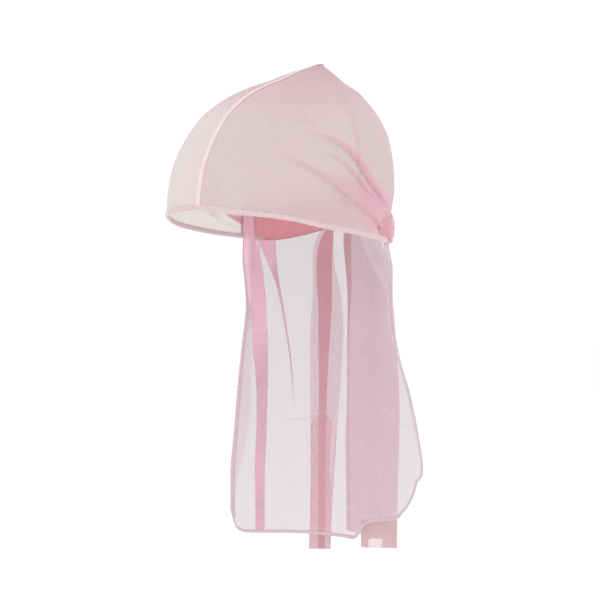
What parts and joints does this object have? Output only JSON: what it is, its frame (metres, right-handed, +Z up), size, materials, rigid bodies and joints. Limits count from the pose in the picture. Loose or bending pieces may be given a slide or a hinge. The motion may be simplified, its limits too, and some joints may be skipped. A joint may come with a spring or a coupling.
{
  "type": "durag",
  "caption": "Sheer pink durag as worn, with a centre seam, overlocked rim, pleated side straps tied at the back and a long draped tail.",
  "frame": {"origin": "mount head_seat: where the top of the head carries the inside of the crown, over the middle of the head", "axes": "+Z up, -Y the way the wearer looks, +X the wearer's left"},
  "size_m": [0.1901, 0.2051, 0.384],
  "materials": {
    "sheer_cloth": "sheer pale pink stretch mesh with fine ribs, matt with a faint sheen",
    "folded_cloth": "the same sheer cloth in several gathered layers, deeper pink",
    "overlock_thread": "pale overlock stitching round a thin rolled edge"
  },
  "bodies": {
    "root": {"crown_left": "sheer_cloth", "crown_right": "sheer_cloth", "centre_seam": "overlock_thread", "rim_hem": "overlock_thread", "wrap_left": "folded_cloth", "wrap_right": "folded_cloth", "back_knot": "folded_cloth", "tail": "sheer_cloth", "tail_hem": "overlock_thread", "strap_left": "folded_cloth", "strap_right": "folded_cloth"}
  },
  "joints": []
}
